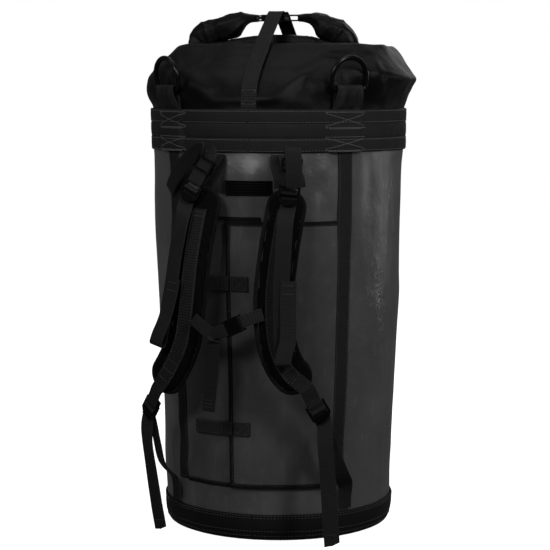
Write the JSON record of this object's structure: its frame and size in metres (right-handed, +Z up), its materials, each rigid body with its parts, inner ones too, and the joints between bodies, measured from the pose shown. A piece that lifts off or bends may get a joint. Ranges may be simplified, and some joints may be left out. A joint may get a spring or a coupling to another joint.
{
  "type": "rope storage bag",
  "caption": "Tall round roll-top bag for climbing rope, with lifting rings on a webbing band, a front pocket and padded shoulder straps.",
  "frame": {"origin": "centre of the round base, on the ground", "axes": "+Z up along the bag, -Y towards the shoulder straps and pocket, +X to the right when facing the straps"},
  "size_m": [0.4416, 0.4961, 0.861],
  "materials": {
    "tarpaulin": "coated dark grey tarpaulin, glossy, softly dented",
    "collar_cloth": "black coated cloth, satin",
    "band": "black woven band with rows of light stitching",
    "hem": "black coated base and hem, stitched",
    "webbing": "black woven webbing",
    "binding": "black edge binding tape",
    "pad_mesh": "black air mesh over foam",
    "moulded_plastic": "black moulded plastic, satin",
    "ring_metal": "black coated steel, satin",
    "badge_rubber": "black moulded rubber with a plain raised rim"
  },
  "bodies": {
    "bag": {"body_wall": "tarpaulin", "base_floor": "hem", "base_hem": "hem", "top_band": "band", "collar": "collar_cloth", "roll_closure": "collar_cloth", "mouth_stiffener": "moulded_plastic", "roll_tab_left": "webbing", "roll_buckle_female": "moulded_plastic", "top_strap": "webbing", "d_ring_tab_front_right": "webbing", "d_ring_tab_front_left": "webbing", "d_ring_tab_rear_right": "webbing", "d_ring_tab_rear_left": "webbing", "side_web_front_right": "webbing", "side_web_front_left": "webbing", "side_web_rear_right": "webbing", "side_web_rear_left": "webbing", "pocket_flap_left": "tarpaulin", "pocket_flap_right": "tarpaulin", "pocket_binding_left": "binding", "pocket_binding_right": "binding", "tab_base_upper": "webbing", "tab_base_lower": "webbing", "badge": "badge_rubber", "tie_loop": "webbing", "lower_strap_left": "webbing", "lower_strap_right": "webbing"},
    "ring_front_right": {"d_ring_front_right": "ring_metal"},
    "ring_front_left": {"d_ring_front_left": "ring_metal"},
    "ring_rear_right": {"d_ring_rear_right": "ring_metal"},
    "ring_rear_left": {"d_ring_rear_left": "ring_metal"},
    "upper_hook_tab": {"hook_tab_upper": "webbing"},
    "lower_hook_tab": {"hook_tab_lower": "webbing"},
    "roll_clip": {"roll_buckle_male": "moulded_plastic", "roll_tab_right": "webbing"},
    "harness": {"shoulder_pad_left": "pad_mesh", "shoulder_pad_right": "pad_mesh", "pad_web_left": "webbing", "pad_web_right": "webbing", "anchor_web_left": "webbing", "anchor_web_right": "webbing", "lifter_web_left": "webbing", "lifter_web_right": "webbing", "sternum_web_left": "webbing", "sternum_web_right": "webbing", "sternum_buckle_female": "moulded_plastic"},
    "lock_upper_left": {"ladder_lock_upper_left": "moulded_plastic", "strap_tail_upper_left": "webbing"},
    "lock_upper_right": {"ladder_lock_upper_right": "moulded_plastic", "strap_tail_upper_right": "webbing"},
    "lock_lower_left": {"ladder_lock_lower_left": "moulded_plastic", "strap_tail_lower_left": "webbing"},
    "lock_lower_right": {"ladder_lock_lower_right": "moulded_plastic", "strap_tail_lower_right": "webbing"},
    "glide_left": {"tri_glide_left": "moulded_plastic"},
    "glide_right": {"tri_glide_right": "moulded_plastic"},
    "chest_clip": {"sternum_buckle_male": "moulded_plastic", "sternum_tail": "webbing"}
  },
  "joints": [
    {"name": "ring_front_right_swing", "type": "hinge", "parent": "bag", "child": "ring_front_right", "pos_m": [0.15072, -0.16163, 0.732], "axis": [0.7314, 0.682, 0], "range_deg": [0, 160]},
    {"name": "ring_front_left_swing", "type": "hinge", "parent": "bag", "child": "ring_front_left", "pos_m": [-0.14499, -0.16679, 0.732], "axis": [0.7547, -0.6561, 0], "range_deg": [0, 160]},
    {"name": "ring_rear_right_swing", "type": "hinge", "parent": "bag", "child": "ring_rear_right", "pos_m": [0.15627, 0.15627, 0.732], "axis": [-0.7071, 0.7071, 0], "range_deg": [0, 160]},
    {"name": "ring_rear_left_swing", "type": "hinge", "parent": "bag", "child": "ring_rear_left", "pos_m": [-0.15627, 0.15627, 0.732], "axis": [-0.7071, -0.7071, 0], "range_deg": [0, 160]},
    {"name": "upper_hook_tab_lift", "type": "hinge", "parent": "bag", "child": "upper_hook_tab", "pos_m": [-0.03119, -0.21119, 0.423], "axis": [0, 0, 1], "range_deg": [0, 38]},
    {"name": "lower_hook_tab_lift", "type": "hinge", "parent": "bag", "child": "lower_hook_tab", "pos_m": [-0.02961, -0.2005, 0.186], "axis": [0, 0, 1], "range_deg": [0, 150]},
    {"name": "roll_clip_release", "type": "slide", "parent": "bag", "child": "roll_clip", "axis": [1, 0, 0], "range_m": [0, 0.016]},
    {"name": "harness_swing", "type": "hinge", "parent": "bag", "child": "harness", "pos_m": [0, -0.216, 0.628], "axis": [-1, 0, 0], "range_deg": [0, 35]},
    {"name": "lock_upper_left_tilt", "type": "hinge", "parent": "harness", "child": "lock_upper_left", "pos_m": [-0.079, -0.243, 0.584], "axis": [-0.8599, 0.2806, 0.4263], "range_deg": [0, 40]},
    {"name": "lock_upper_right_tilt", "type": "hinge", "parent": "harness", "child": "lock_upper_right", "pos_m": [0.074, -0.245, 0.581], "axis": [-0.9758, -0.1991, 0.0904], "range_deg": [0, 40]},
    {"name": "lock_lower_left_tilt", "type": "hinge", "parent": "harness", "child": "lock_lower_left", "pos_m": [-0.1586, -0.2174, 0.2276], "axis": [-0.6811, 0.4513, 0.5766], "range_deg": [0, 40]},
    {"name": "lock_lower_right_tilt", "type": "hinge", "parent": "harness", "child": "lock_lower_right", "pos_m": [0.112, -0.233, 0.237], "axis": [-0.7767, -0.3754, -0.5058], "range_deg": [0, 40]},
    {"name": "glide_left_slide", "type": "slide", "parent": "harness", "child": "glide_left", "axis": [0.4761, 0.14, 0.8682], "range_m": [-0.008, 0.001]},
    {"name": "glide_right_slide", "type": "slide", "parent": "harness", "child": "glide_right", "axis": [0.0499, 0.1997, 0.9786], "range_m": [-0.008, 0.001]},
    {"name": "chest_clip_release", "type": "slide", "parent": "harness", "child": "chest_clip", "axis": [-0.905, 0, -0.4255], "range_m": [0, 0.01]}
  ]
}
